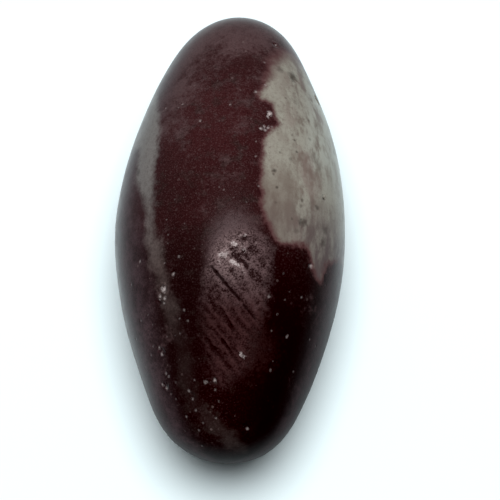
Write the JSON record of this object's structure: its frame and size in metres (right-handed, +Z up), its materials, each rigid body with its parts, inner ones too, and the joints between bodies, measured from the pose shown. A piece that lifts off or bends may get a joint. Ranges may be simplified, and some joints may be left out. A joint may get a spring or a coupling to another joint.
{
  "type": "shiva lingam stone",
  "caption": "Egg-shaped polished river stone of maroon jasper with a pale grey patch, a rasped flat with score marks and small chips, lying on its side.",
  "frame": {"origin": "bottom centre of the stone's bounding box, on the worn flat that it rests on", "axes": "+Y along the stone's length towards its slimmer end, +X across it towards the side with the pale patch, +Z up out of the side with the rasped flat"},
  "size_m": [0.0376, 0.0758, 0.0353],
  "materials": {
    "stone": "satin"
  },
  "bodies": {
    "root": {"stone": "stone"}
  },
  "joints": []
}
